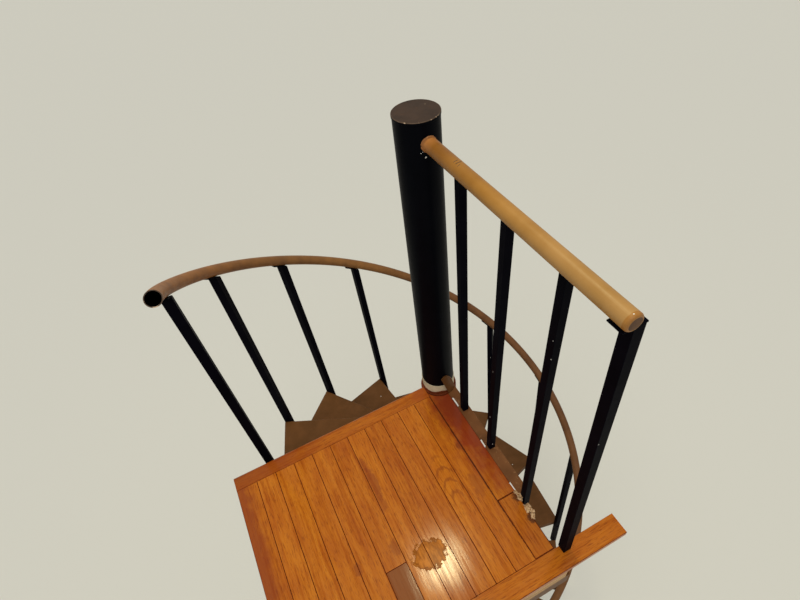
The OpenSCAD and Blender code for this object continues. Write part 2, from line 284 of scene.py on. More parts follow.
@dataclass(frozen=True)
class VarnishedOak(Finish):
    """Strip oak under an old oil varnish: orange brown, fine long grain, each board its own tone, stained and worn."""

    along: Along
    stains: tuple[Stain, ...] = ()
    worn: Stain | None = None
    figured: Stain | None = None

    def shade(self, tree: Tree, place: Socket) -> Inputs:
        """Adds the wood's and the varnish's nodes.

        Args:
            tree: The material's node tree.
            place: The socket that gives the place.

        Returns:
            What the shader's inputs get.
        """
        tone, shift, red = (add(tree, "Attribute", out="Fac", attribute_name=name) for name in BOARD_MARKS)
        slide = add(tree, "CombineXYZ", {0: shift, 1: shift, 2: shift})
        moved = add(tree, "VectorMath", {0: place, 1: slide}, operation="ADD")
        # Growth rings show 9 mm wide and 260 mm long, with soft clouds of tone 70 mm long over them. Latewood lines
        # show 7 mm apart and 170 mm long. Open pores are short dark dashes, drawn 1.6 mm wide so that they show.
        rings = self.grain(tree, moved, 9, 260, Detail=4.0, Roughness=0.5, Distortion=0.5)
        clouds = self.grain(tree, moved, 30, 70, Detail=3.0)
        late = self.grain(tree, moved, 7, 170, Detail=3.0, Roughness=0.6, Distortion=0.3)
        pores = self.grain(tree, moved, 1.6, 20, Detail=2.0)
        colour = add(tree, "ValToRGB", {"Fac": rings},
                     [(0.26, "#a95f13"), (0.42, "#b26715"), (0.58, "#b86e18"), (0.78, "#be761f")])
        for share, cause, stops in (
                (0.55, clouds, [(0.36, "#ecdccb"), (0.60, "#ffffff")]),
                (0.3, late, [(0.40, "#c08a5c"), (0.47, "#ffffff")]),
                (0.5, pores, [(0.33, "#8f5a32"), (0.45, "#ffffff")]),
                (1.0, tone, [(0.0, "#c0a090"), (0.35, "#dcc8b4"), (0.7, "#f6ece0"), (1.0, "#fffaf0")])):
            tint = add(tree, "ValToRGB", {"Fac": cause}, stops)
            colour = add(tree, "Mix", {0: share, 6: colour, 7: tint}, **TINT)
        # A patched-in board under other varnish is greyer.
        grey = add(tree, "MapRange", {"Value": tone, "From Min": 0.25, "From Max": 0.05, "To Max": 0.8})
        colour = add(tree, "Mix", {0: grey, 6: colour, 7: srgb("#7a451f")}, **OVER)
        # Old varnish is redder in clouds about 120 mm long.
        cloud = self.grain(tree, place, 50, 120, Detail=4.0)
        low = add(tree, "MapRange", {"Value": red, "To Min": 0.56, "To Max": 0.30})
        high = add(tree, "Math", {0: low, 1: 0.22}, operation="ADD")
        redder = add(tree, "MapRange", {"Value": cloud, "From Min": low, "From Max": high, "To Max": 0.32})
        colour = add(tree, "Mix", {0: redder, 6: colour, 7: srgb("#cf9470")}, **TINT)
        # Dark figure, about 10 mm wide and 42 mm long, lies on some spots only.
        knot = self.grain(tree, moved, 10, 42, Detail=3.0, Distortion=1.2)
        knots = add(tree, "MapRange", {"Value": knot, "From Min": 0.66, "From Max": 0.76, "To Max": 0.35})
        spots = [(knots, "#7a3c14"), *((stain.share(tree, place), stain.colour) for stain in self.stains)]
        if self.figured:
            spots.append((self.loops(tree, place, self.figured), self.figured.colour))
        for share, code in spots:
            colour = add(tree, "Mix", {0: share, 6: colour, 7: srgb(code)}, **OVER)
        wave = self.grain(tree, moved, 18, 80, Detail=4.0)
        gloss = add(tree, "MapRange", {"Value": wave, "From Min": 0.3, "From Max": 0.7, "To Min": 0.36,
                                       "To Max": 0.50})
        # The varnish has sunk along the latewood, so that a glint breaks into streaks.
        coat = add(tree, "MapRange", {"Value": late, "From Min": 0.35, "From Max": 0.62, "To Min": 0.16,
                                      "To Max": 0.40})
        if self.worn:
            bare = self.worn.share(tree, place)
            mottle = add(tree, "ValToRGB", {"Fac": self.grain(tree, place, 9, 22, Detail=5.0)},
                         [(0.38, "#8f5217"), (0.62, self.worn.colour)])
            colour = add(tree, "Mix", {0: bare, 6: colour, 7: mottle}, **OVER)
            # Dirt lies in the ragged rim of the lifted varnish, half way to the open wood.
            half = self.worn.strength / 2
            rim = add(tree, "Math", {0: bare, 1: -half}, operation="ADD")
            far = add(tree, "Math", {0: rim}, operation="ABSOLUTE")
            dirt = add(tree, "MapRange", {"Value": far, "From Min": half, "From Max": 0.0, "To Max": 0.9})
            colour = add(tree, "Mix", {0: dirt, 6: colour, 7: srgb("#7a4410")}, **OVER)
            open_wood = add(tree, "MapRange", {"Value": bare, "From Max": self.worn.strength * 0.4})
            gloss, coat = (add(tree, "Mix", {0: open_wood, 2: varnish, 3: wood}, data_type="FLOAT")
                           for varnish, wood in ((gloss, 0.85), (coat, 0.02)))
        pitted = add(tree, "Bump", {"Height": pores, "Strength": 0.06, "Distance": mm(0.3)})
        cupped = add(tree, "Bump", {"Height": wave, "Normal": pitted, "Strength": 0.10, "Distance": mm(1.0)})
        return {"Base Color": colour, "Roughness": gloss, "Specular IOR Level": 0.06, "Normal": cupped,
                "Coat Weight": coat, "Coat Roughness": 0.13, "Coat Normal": cupped}

    def grain(self, tree: Tree, place: Socket, across: float, length: float, **shape: float) -> Socket:
        """Adds a noise that runs with the grain.

        Args:
            tree: The node tree.
            place: The socket that gives the place.
            across: The pattern's size across the grain, in millimetres.
            length: Its size along the grain.
            **shape: The noise's own inputs.

        Returns:
            The noise.
        """
        wide, far = 1 / mm(across), 1 / mm(length)
        scale = (wide, far, wide) if self.along is Along.Y else (far, wide, wide)
        mapped = add(tree, "Mapping", {"Vector": place, "Scale": scale})
        return add(tree, "TexNoise", {"Vector": mapped, "Scale": 1.0, **shape})

    def loops(self, tree: Tree, place: Socket, where: Stain) -> Socket:
        """Adds the growth rings that crop out as nested loops on one flat-sawn board.

        Args:
            tree: The node tree.
            place: The socket that gives the place.
            where: The spot that shows them.

        Returns:
            How dark the loops are at a place.
        """
        across, length = 14, 38
        middle = (-where.x / across, -(where.y - where.half_y * 1.2) / length, 0.0)
        mapped = add(tree, "Mapping", {"Vector": place, "Location": middle,
                                       "Scale": (1 / mm(across), 1 / mm(length), 0.0)})
        # A wave texture gives 20 radians to a unit, so that at 0.314 a ring is one unit wide.
        rings = add(tree, "TexWave", {"Vector": mapped, "Scale": 0.314, "Distortion": 2.6, "Detail": 3.0,
                                      "Detail Scale": 3.0}, out="Fac", wave_type="RINGS", rings_direction="SPHERICAL")
        lines = add(tree, "MapRange", {"Value": rings, "From Min": 0.66, "From Max": 0.97})
        return add(tree, "Math", {0: lines, 1: where.share(tree, place)}, operation="MULTIPLY")


@dataclass(frozen=True)
class LayeredWood(Finish):
    """Raw softwood sheathing and planks seen at their edge: pale layers 18 mm thick with darker glue lines."""

    def shade(self, tree: Tree, place: Socket) -> Inputs:
        """Adds the layers' nodes.

        Args:
            tree: The material's node tree.
            place: The socket that gives the place.

        Returns:
            What the shader's inputs get.
        """
        stretch = add(tree, "Mapping", {"Vector": place, "Scale": (1 / mm(60), 1 / mm(60), 1 / mm(3))})
        grain = add(tree, "TexNoise", {"Vector": stretch, "Scale": 1.0, "Detail": 5.0})
        wood = add(tree, "ValToRGB", {"Fac": grain}, [(0.3, "#8f6a43"), (0.6, "#c39a68"), (0.8, "#d8b584")])
        layer = add(tree, "TexWave", {"Vector": place, "Scale": 1 / mm(9) / 6.28, "Distortion": 0.4}, out="Fac",
                    bands_direction="Z")
        glue = add(tree, "MapRange", {"Value": layer, "From Min": 0.12, "From Max": 0.0, "To Max": 0.7})
        return {"Base Color": add(tree, "Mix", {0: glue, 6: wood, 7: srgb("#5a3d24")}, **OVER), "Roughness": 0.8,
                "Normal": add(tree, "Bump", {"Height": grain, "Strength": 0.3, "Distance": mm(0.6)})}


@dataclass(frozen=True)
class Plain(Finish):
    """A small matt or metal finish with only a soft mottle: fastenings, chips and seam dirt."""

    colour: str
    second: str
    roughness: float
    metallic: float = 0.0
    grain_mm: float = 4.0
    specular: float = 0.5

    def shade(self, tree: Tree, place: Socket) -> Inputs:
        """Adds the mottle's nodes.

        Args:
            tree: The material's node tree.
            place: The socket that gives the place.

        Returns:
            What the shader's inputs get.
        """
        mottle = add(tree, "TexNoise", {"Vector": place, "Scale": 1 / mm(self.grain_mm), "Detail": 4.0})
        return {"Base Color": add(tree, "ValToRGB", {"Fac": mottle}, [(0.35, self.second), (0.65, self.colour)]),
                "Roughness": self.roughness, "Metallic": self.metallic, "Specular IOR Level": self.specular,
                "Normal": add(tree, "Bump", {"Height": mottle, "Strength": 0.2, "Distance": mm(0.3)})}


# The black enamels' slight blue cast is a painted reflection of bluish light.
BLACK = Enamel("black_enamel_on_steel", "#05060b", "#030408", "#0b0c12", 0.36, 0.022, "#b9b4a6", 0.04)
BARS = Enamel("black_enamel_on_bars_and_bore_shade", "#0a0910", "#06060b", "#101017", 0.42, 0.006, "#b9b4a6", 0.04)
CAP = Enamel("brown_enamel_cap", "#36271f", "#2b1f19", "#483329", 0.5, 0.15, "#8a7a68", rubbed_from=0.62, cloud_mm=35)
RIM = Enamel("chipped_brown_edge", "#4d3b2e", "#37291f", "#b39a84", 0.55, 0.25, "#cdbfae", rubbed_from=0.55,
             cloud_mm=12)
BROWN = Enamel("brown_enamel_on_steel", "#633f1f", "#543516", "#6f4928", 0.46, 0.14, "#d8cfba", 0.08)
STRIP = Enamel("worn_brown_enamel", "#734826", "#5e3a1d", "#8b623c", 0.5, 0.14, "#d8ccb4", 0.12, rubbed_from=0.60)
# The guard tube's ramp paints shade near the pole and light towards its far end; its pinkish tint at the pole's end is
# the weld's real paint.
TAN = Enamel("golden_tan_enamel", "#a47c47", "#966e36", "#b0885a", 0.40, 0.22, "#cdb88c", 0.01, rubbed_from=0.74,
             peel=0.03, painted_light_ramp=((0.09, "#f9dad6"), (0.14, "#c0a566"), (0.42, "#f1e2ae"), (0.80, "#ffffff")))
# The handrail's ramp paints light and shade along it: paler towards -x, and darker and bluer towards +x.
RAIL = Enamel("brown_tan_enamel", "#8e5b2e", "#754925", "#9f6b3c", 0.46, 0.16, "#b8a07c", 0.01, rubbed_from=0.72,
              peel=0.03, painted_light_axis=0, painted_light_span=(-600.0, 600.0),
              painted_light_ramp=((0.08, "#ffffe8"), (0.24, "#ecfaff"), (0.5, "#ecfaff"), (0.79, "#c1c8e2")))
WELD = Enamel("brown_tan_weld_paint", "#a0693a", "#875632", "#ad7a4c", 0.5, 0.25, rubbed_from=0.55, cloud_mm=12)
DISC = Enamel("dark_brown_tube_end", "#61432a", "#4a301d", "#85613f", 0.5, 0.14, rubbed_from=0.62, cloud_mm=14)
CREAM = Enamel("chipped_cream_primer", "#c2b395", "#a09174", "#7b6650", 0.6, 0.14, "#3d2c20", rubbed_from=0.62)
FOOT_BAND = Enamel("dark_red_brown_foot_band", "#6e3216", "#57240f", "#8a4a26", 0.45, 0.14, rubbed_from=0.64, cloud_mm=12)
TUBE_END = Enamel("brown_tan_tube_end", "#9a6a2e", "#8a5a28", "#a97a45", 0.42, 0.25, rubbed_from=0.66, cloud_mm=10,
                  peel=0.03)
SEAM = Plain("dark_seam_dirt", "#74300e", "#431907", 0.7, specular=0.04)
ZINC = Plain("zinc_plated_steel", "#8f8c86", "#6f6c66", 0.38, metallic=0.9, grain_mm=2.0)
WHITE = Plain("white_paint_chips_and_gap_light", "#ece8de", "#d8d2c4", 0.7)
SPLIT = Plain("split_pale_oak", "#d9b789", "#8f6237", 0.85)
DARK = Plain("dark_scratches", "#4a2f18", "#33200f", 0.6, grain_mm=1.0)


def heading(angle: float) -> Vector:
    """Returns the level direction at an angle in degrees."""
    return Vector((math.cos(math.radians(angle)), math.sin(math.radians(angle)), 0))


def facing(spot: Sequence[float], out: Vector) -> Matrix:
    """Returns the frame at a spot whose Z looks one way."""
    return Matrix.Translation(spot) @ out.to_track_quat("Z", "Y").to_matrix().to_4x4()


def stand(title: str, data: bpy.types.ID) -> Piece:
    """Puts an object into the scene.

    Args:
        title: The object's name.
        data: Its mesh, lamp or camera.

    Returns:
        The object.
    """
    made = bpy.data.objects.new(title, data)
    bpy.context.scene.collection.objects.link(made)
    return made


def to_piece(shape: Shape, title: str, finish: Paint, node: str = "", smooth: float = 35.0,
             recalculate: bool = False, flat: bool = True) -> Piece:
    """Turns a finished bmesh into a piece that rides on the stair.

    Args:
        shape: The mesh, with its place in it. It is freed.
        title: The piece's name.
        finish: Its material.
        node: The CAD node that it replaces, if it does.
        smooth: Edges that turn more than this many degrees stay sharp.
        recalculate: Whether the faces are first turned outwards.
        flat: Whether large faces are shaded flat right up to their rounded edges.

    Returns:
        The piece.
    """
    if recalculate:
        bmesh.ops.recalc_face_normals(shape, faces=shape.faces)
    for face in shape.faces:
        face.smooth = True
    mesh = bpy.data.meshes.new(title)
    shape.to_mesh(mesh)
    shape.free()
    mesh.set_sharp_from_angle(angle=math.radians(smooth))
    mesh.materials.append(finish)
    piece = stand(title, mesh)
    if flat:
        even = piece.modifiers.new("even", "WEIGHTED_NORMAL")
        even.keep_sharp = True
        even.weight = 100
    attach(piece, "root")
    if node:
        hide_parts(node)
    return piece


def repaint(piece: Piece, finish: Paint, wanted: Callable[[bpy.types.MeshPolygon], bool]) -> None:
    """Gives some of a piece's faces a further finish.

    Args:
        piece: The piece.
        finish: The finish.
        wanted: Says which faces take it.
    """
    piece.data.materials.append(finish)
    slot = len(piece.data.materials) - 1
    for face in piece.data.polygons:
        if wanted(face):
            face.material_index = slot


def clear_faces(shape: Shape) -> None:
    """Clears the lines inside a shape's flat faces."""
    bmesh.ops.dissolve_limit(shape, angle_limit=FLAT, verts=shape.verts, edges=shape.edges)


def merged_copy(node: str, clear: bool = True) -> Shape:
    """Copies a CAD node's mesh and joins its loose triangles.

    Args:
        node: The CAD node's name.
        clear: Whether the lines inside its flat faces are cleared.

    Returns:
        The copy.
    """
    shape = bmesh.new()
    shape.from_mesh(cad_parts[node].data)
    bmesh.ops.remove_doubles(shape, verts=shape.verts, dist=MERGE)
    if clear:
        clear_faces(shape)
    return shape


def cut(shape: Shape, spot: Sequence[float], normal: Sequence[float], clear: bool = False,
        near: float = mm(0.001)) -> list:
    """Cuts a shape by a plane, clears its outer side if asked to, and returns the points and edges on the cut."""
    return bmesh.ops.bisect_plane(shape, geom=[*shape.verts, *shape.edges, *shape.faces], dist=near, plane_co=spot,
                                  plane_no=normal, clear_outer=clear)["geom_cut"]


def bevel(shape: Shape, edges: Sequence[Edge], radius: float, segments: int = 2) -> list:
    """Rounds some of a shape's edges to a width in metres, and returns the new faces."""
    return bmesh.ops.bevel(shape, geom=edges, offset=radius, offset_type="OFFSET", segments=segments, profile=0.5,
                           affect="EDGES", clamp_overlap=True, material=-1)["faces"]


def soften(shape: Shape, radius: float, segments: int = 2, wanted: Callable[[Edge], bool] | None = None) -> None:
    """Rounds the sharp edges of a shape.

    Args:
        shape: The mesh.
        radius: The width of the rounding, in metres.
        segments: The number of faces across it.
        wanted: Says which of the sharp edges are rounded, where not all are.
    """
    edges = [e for e in shape.edges if e.is_manifold and e.calc_face_angle(0) > SHARP and (not wanted or wanted(e))]
    bevel(shape, edges, radius, segments)


def join(shape: Shape, into: Shape) -> None:
    """Adds one bmesh to another.

    Args:
        shape: The mesh that is added. It is freed.
        into: The mesh that it joins.
    """
    held = bpy.data.meshes.new("held")
    shape.to_mesh(held)
    shape.free()
    into.from_mesh(held)
    bpy.data.meshes.remove(held)


def skin(rings: Sequence[Matrix], sides: int, closed: bool = False) -> Shape:
    """Draws a round skin, one extruded ring after another.

    Args:
        rings: Each ring's frame, scaled to its radius.
        sides: The number of sides round the skin.
        closed: Whether its end meets its start.

    Returns:
        The skin.
    """
    shape = bmesh.new()
    bmesh.ops.create_circle(shape, cap_ends=False, segments=sides, radius=1.0, matrix=rings[0])
    edges = list(shape.edges)
    for before, after in zip(rings, rings[1:]):
        grown = bmesh.ops.extrude_edge_only(shape, edges=edges)["geom"]
        edges = [g for g in grown if isinstance(g, Edge)]
        bmesh.ops.transform(shape, matrix=after @ before.inverted(), verts=[g for g in grown if isinstance(g, Vert)])
    if closed:
        bmesh.ops.bridge_loops(shape, edges=[e for e in shape.edges if e.is_boundary])
    return shape


def copy_node(node: str, finish: Paint, radius: float = 0.0, segments: int = 2,
              wanted: Callable[[Edge], bool] | None = None) -> Piece:
    """Replaces a CAD node by a merged copy with rounded edges and smooth round faces.

    Args:
        node: The CAD node's name.
        finish: The piece's material.
        radius: The width of the edges' rounding, or 0 for none.
        segments: The number of faces across it.
        wanted: Says which edges are rounded, where not all are.

    Returns:
        The piece.
    """
    shape = merged_copy(node)
    if radius:
        soften(shape, radius, segments, wanted)
    return to_piece(shape, node + "_dressed", finish, node)


@dataclass
class PoleAndBase:
    """The pole, its cap, the sleeves, the foot ring and the base plate with its anchors."""

    black: Paint
    brown: Paint
    cap_rim: float = mm(1.2)
    plate: float = mm(12)
    plate_edge: float = mm(1.5)
    sleeve_edge: float = mm(0.8)
    anchor_circle: float = 0.220
    anchor_flat: float = mm(19)
    anchor_high: float = mm(8)
    anchor_edge: float = mm(0.8)
    washer: float = mm(2)
    collar_high: float = mm(43)
    collar_out: float = mm(1.6)
    collar_rim: float = mm(1.2)
    collar_sides: int = 72
    dark_foot_band: float = mm(13)
    lug_thick: float = mm(3.4)

    def collar(self) -> Piece:
        """Builds the pale collar round the pole's foot, dark red brown along its lower edge where it meets the floor.

        Returns:
            The collar.
        """
        out, rim = POLE_RADIUS + self.collar_out, self.collar_rim
        band_top, top = LANDING_TOP + self.dark_foot_band, LANDING_TOP + self.collar_high
        profile = ((out, LANDING_TOP - mm(1)), (out, band_top), (out, top - rim), (out - rim * 0.3, top - rim * 0.3),
                   (out - rim, top), (POLE_RADIUS - mm(0.5), top))
        shape = skin([Matrix.Translation((0, 0, high)) @ Matrix.Diagonal((wide, wide, 1, 1))
                      for wide, high in profile], self.collar_sides)
        for vert in shape.verts:
            if abs(vert.co.z - band_top) < mm(0.1):
                vert.co.z += mm(7) * noise.noise(vert.co * 40)
        piece = to_piece(shape, "foot_collar", CREAM.material(), flat=False)
        # The faces nearest the floor are painted dark red brown.
        repaint(piece, FOOT_BAND.material(), lambda face: face.center.z < LANDING_TOP + self.dark_foot_band * 0.75)
        return piece

    def lug(self) -> Piece:
        """Builds the strip's end: a thin brown lug with a rounded top that is bent up against the pole.

        Returns:
            The lug.
        """
        shape = bmesh.new()
        bmesh.ops.create_grid(shape, x_segments=10, y_segments=12, size=0.5)
        for vert in shape.verts:
            # Its foot follows the strip's end, and its head lies against the collar and the pole.
            across, up = vert.co.x + 0.5, vert.co.y + 0.5
            foot = Vector((mm(8 + 28 * across), mm(-58 + 13 * across), LANDING_TOP - mm(1)))
            high = 78 + 20 * math.sin(math.pi * across) - 18 * across
            head = Vector((mm(-14 + 36 * across), mm(-51), LANDING_TOP + mm(high)))
            spot = foot.lerp(head, up)
            away = Vector((spot.x, spot.y, 0))
            near = POLE_RADIUS + (self.collar_out + mm(3.5) if spot.z < LANDING_TOP + self.collar_high else mm(4))
            vert.co = spot + away.normalized() * max(0.0, near - away.length)
        bmesh.ops.recalc_face_normals(shape, faces=shape.faces)
        bmesh.ops.solidify(shape, geom=shape.faces, thickness=self.lug_thick)
        return to_piece(shape, "strip_lug", self.brown, smooth=50, recalculate=True)

    def anchors(self) -> Piece:
        """Builds the base plate's four hexagon heads with bevelled corners, each on its washer.

        Returns:
            The anchors.
        """
        shape, out = bmesh.new(), Vector((0, 0, 1))
        disc, corner = self.anchor_flat * 0.95, self.anchor_flat / 1.732
        for index in range(4):
            seat = heading(45 + 90 * index) * self.anchor_circle / 2 + out * self.plate
            bmesh.ops.create_cone(shape, cap_ends=True, segments=24, radius1=disc, radius2=disc, depth=self.washer,
                                  matrix=facing(seat + out * self.washer / 2, out))
            head = bmesh.new()
            bmesh.ops.create_cone(head, cap_ends=True, segments=6, radius1=corner, radius2=corner,
                                  depth=self.anchor_high,
                                  matrix=facing(seat + out * (self.washer + self.anchor_high / 2), out))
            soften(head, self.anchor_edge, 1)
            join(head, shape)
        return to_piece(shape, "base_anchors", ZINC.material())

    def build(self) -> list[Piece]:
        """Builds and dresses the pieces.

        Returns:
            The pieces.
        """
        cap = copy_node("pole_cap", CAP.material(), self.cap_rim, 3)
        repaint(cap, RIM.material(), lambda face: 0.25 < face.normal.z < 0.97)
        repaint(cap, self.black, lambda face: face.normal.z <= 0.25)
        return [
            copy_node("center_pole", self.black),
            cap,
            copy_node("base_plate", self.black, self.plate_edge),
            copy_node("hub_spacers", self.brown, self.sleeve_edge, 1),
            copy_node("foot_ring", FOOT_BAND.material(), self.sleeve_edge),
            self.collar(),
            self.lug(),
            self.anchors(),
        ]


@dataclass
class Flight:
    """The twelve folded treads, the thirteen balusters and the handrail."""

    black: Paint
    brown: Paint
    fold: float = mm(2.5)
    tube_edge: float = mm(1.8)
    half_bar: float = mm(11.5)
    bolt_radius: float = mm(6)
    bolt_high: float = mm(3.2)
    # The bore's facets are smaller than the outside's, and those of the cut ends are the smallest.
    bore_facet: float = 480e-6
    rim_facet: float = 20e-6

    def treads(self) -> list[Piece]:
        """Builds the treads, with the folds of their upper and upright edges rounded.

        Returns:
            The treads.
        """
        made = []
        for number in range(1, TREADS + 1):
            top = PLATE_TOP - RISE * number

            def outer(edge: Edge, level: float = top) -> bool:
                """Says whether an edge lies on the tread's top outline or stands at its outer corners.

                Args:
                    edge: The edge.
                    level: The height of the tread's top.

                Returns:
                    Whether it does.
                """
                high = [abs(v.co.z - level) < mm(0.1) for v in edge.verts]
                near = min(v.co.xy.length for v in edge.verts)
                return near > HALF_IN + mm(1) and (all(high) or any(high) and near > TREAD_REACH - mm(1))

            made.append(copy_node(f"tread_{number:02d}", self.brown, self.fold, 3, outer))
        return made

    def section_centre(self, node: str, height: float) -> Vector:
        """Finds the middle of a bar at a height.

        Args:
            node: The bar's CAD node.
            height: The height, in metres.

        Returns:
            The middle of the bar's section there.
        """
        shape = merged_copy(node)
        found = [g.co.copy() for g in cut(shape, (0, 0, height), (0, 0, 1)) if isinstance(g, Vert)]
        shape.free()
        low, high = (Vector([end(p[i] for p in found) for i in range(3)]) for end in (min, max))
        return (low + high) / 2

    def bolt(self, seat: Vector, out: Vector, into: Shape) -> None:
        """Adds a low domed head with a flat seat.

        Args:
            seat: The middle of the seat, on the face that it presses on.
            out: The direction in which the head stands out.
            into: The piece that it joins.
        """
        head = bmesh.new()
        bmesh.ops.create_uvsphere(head, u_segments=12, v_segments=6, radius=self.bolt_radius)
        rim = cut(head, (0, 0, 0), (0, 0, -1), True)
        bmesh.ops.holes_fill(head, edges=[g for g in rim if isinstance(g, Edge)])
        low = Matrix.Diagonal((1, 1, self.bolt_high / self.bolt_radius, 1))
        bmesh.ops.transform(head, matrix=facing(seat, out) @ low, verts=head.verts)
        join(head, into)

    def balusters(self) -> list[Piece]:
        """Builds the stair balusters with rounded tube corners, and the bolts that hold them to the treads.

        Returns:
            The balusters and the bolts.
        """
        made, bolts = [], bmesh.new()
        for number in range(TREADS + 1):
            node = f"baluster_{number:02d}"
            made.append(copy_node(node, self.black, self.tube_edge))
            out = heading(TOP_ANGLE - number * STEP + LEAN - 90)
            for tread, side in ((number, 1), (number + 1, -1)):
                if 1 <= tread <= TREADS:
                    seat = self.section_centre(node, PLATE_TOP - RISE * tread - TREAD_LIP / 2)
                    self.bolt(seat + out * self.half_bar * side, out * side, bolts)
        made.append(to_piece(bolts, "baluster_bolts", self.black))
        return made

    def handrail(self) -> Piece:
        """Builds the handrail as a smooth tube over the CAD tube's rings, open at both ends.

        Returns:
            The handrail.
        """
        shape = merged_copy("handrail", False)
        bmesh.ops.join_triangles(shape, faces=shape.faces, angle_face_threshold=math.radians(20),
                                 angle_shape_threshold=math.radians(60))
        crease = shape.edges.layers.float.new("crease_edge")
        for edge in shape.edges:
            if edge.calc_face_angle(0) > math.radians(60):
                edge[crease] = 1.0
        piece = to_piece(shape, "handrail_tube", RAIL.material(), "handrail", 60, flat=False)
        smooth = piece.modifiers.new("smooth", "SUBSURF")
        smooth.levels = smooth.render_levels = 2
        # The bore is painted black: painted shade inside the open tube.
        repaint(piece, self.black, lambda face: face.area < self.bore_facet)
        repaint(piece, RIM.material(), lambda face: face.area < self.rim_facet)
        return piece

    def build(self) -> list[Piece]:
        """Builds and dresses the pieces."""
        return [*self.treads(), *self.balusters(), self.handrail()]


@dataclass
class Landing:
    """The oak floor board by board, its nosing and threshold, the layers under it and the steel frame."""

    brown: Paint
    groove: float = mm(1.1)
    crack: float = mm(1.1) * 2.6
    frame_edge: float = mm(2)
    pole_clear: float = 0.08
    seed: int = 11
    # Where a board is butted along its length, counted from the strip, and whose near end is patched in.
    butts: dict[int, float] = field(default_factory=lambda: {0: -0.416, 6: -0.436})
    patched: int = 6
    # Where the photograph shows them: red varnish by the strip, darker red brown at the left end, painted shade in two
    # small holes, dark figure and seam dirt.
    stains: tuple[Stain, ...] = (
        Stain(-4, -165, 54, 195, "#822c12", 0.85, 30, 0.9), Stain(-14, -92, 46, 66, "#7a2e15", 0.7, 25, 0.9),
        # These two very dark spots are painted shade in small holes beside the split wood.
        Stain(-2, -432, 11, 12, "#3a1a08", 0.75, 6, 0.5), Stain(0, -494, 11, 14, "#3a1a08", 0.8, 6, 0.5),
        Stain(-53.4, -240, 2.2, 270, "#2e1206", 0.85, 7, 0.5),
        Stain(-682, -180, 34, 330, "#7f3513", 0.75, 30, 0.9), Stain(-326, -205, 13, 50, "#7c3612", 0.6, 10),
        Stain(-333, -142, 8, 26, "#7a3414", 0.5, 8), Stain(-330, -268, 12, 30, "#803a14", 0.5, 9),
        Stain(-62, -227, 6, 12, "#6e3010", 0.6, 5), Stain(-76, -350, 14, 36, "#8a4412", 0.5, 8, 0.3),
        Stain(-350, -392, 12, 20, "#7c3a14", 0.5, 8), Stain(-456, -395, 10, 16, "#783412", 0.55, 8),
    )
    edge_stains: tuple[Stain, ...] = (Stain(-640, -20, 170, 90, "#82380f", 0.6, 40, 0.9),
                                      Stain(-72, -26, 30, 40, "#8e3e14", 0.5, 15, 0.6))
    worn: Stain = Stain(-278, -448, 43, 33, "#bd7429", 0.80, 13, 0.26)
    figured: Stain = Stain(-140, -300, 26, 80, "#7c3a10", 0.58, 14, 0.6)

    def board(self, source: str, low: Vector, high: Vector, marks: Sequence[float], groove: float,
              into: Shape) -> None:
        """Cuts one board out of a copy of a CAD node and grooves its upper edges.

        Args:
            source: The CAD node.
            low: The board's lowest x and y.
            high: Its highest x and y.
            marks: Its tone from 0, dark, to 1, light, how far its grain is slid, and how red it is, from 0 to 1.
            groove: The width of the groove along its edges.
            into: The floor that it goes into.
        """
        shape = merged_copy(source)
        for axis in (Vector((1, 0, 0)), Vector((0, 1, 0))):
            for corner, side in ((low, -1), (high, 1)):
                rim = cut(shape, corner, axis * side, True, MERGE)
                bmesh.ops.holes_fill(shape, edges=[g for g in rim if isinstance(g, Edge) and g.is_boundary])
        clear_faces(shape)
        top = max(v.co.z for v in shape.verts)
        upper = [e for e in shape.edges if all(abs(v.co.z - top) < mm(0.05) for v in e.verts)]
        for face in bevel(shape, upper, groove):
            face.material_index = 1
        for name, value in zip(BOARD_MARKS, marks):
            layer = shape.verts.layers.float.new(name)
            for vert in shape.verts:
                vert[layer] = value
        join(shape, into)

    def floor(self) -> Piece:
        """Lays the floor's boards between the nosing and the threshold.

        Returns:
            The floor.
        """
        draw = random.Random(self.seed)
        low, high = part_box("landing_deck")
        seams = [OAK_RIGHT]
        while seams[-1] > low.x + BOARD * 1.5:
            seams.append(FIRST_SEAM - BOARD * (len(seams) - 1))
        seams.append(low.x - mm(1))
        shape = bmesh.new()
        for index, (right, left) in enumerate(zip(seams, seams[1:])):
            stops = [low.y - mm(1), *(y for board, y in self.butts.items() if board == index), high.y + mm(1)]
            for row, (near, far) in enumerate(zip(stops, stops[1:])):
                tone, red = draw.uniform(0.6, 1.0), draw.uniform(0.05, 0.35)
                if index == self.patched and row == 0:
                    tone = 0.05
                if index == len(seams) - 2:
                    tone, red = 0.75, 0.3
                self.board("landing_deck", Vector((left, near, 0)), Vector((right, far, 0)),
                           (tone, draw.uniform(0, 20), red), self.groove if index else self.crack, shape)
        oak = VarnishedOak("varnished_oak_strip", Along.Y, self.stains, self.worn, self.figured)
        piece = to_piece(shape, "oak_floor_boards", oak.material(), "landing_deck")
        piece.data.materials.append(SEAM.material())
        return piece

    def edge_board(self, node: str, tone: float, shift: float, oak: Paint) -> Piece:
        """Dresses the nosing or the threshold board, whose grain runs across the landing.

        Args:
            node: The CAD node.
            tone: The board's tone.
            shift: How far its grain is slid.
            oak: The finish.

        Returns:
            The board.
        """
        low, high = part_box(node)
        beyond = Vector((1, 1, 0))
        shape = bmesh.new()
        self.board(node, low - beyond, high + beyond, (tone, shift, 0.3), self.groove, shape)
        piece = to_piece(shape, node + "_dressed", oak, node)
        piece.data.materials.append(oak)
        repaint(piece, SEAM.material(), lambda face: face.material_index == 1 and face.normal.y < -0.2)
        return piece

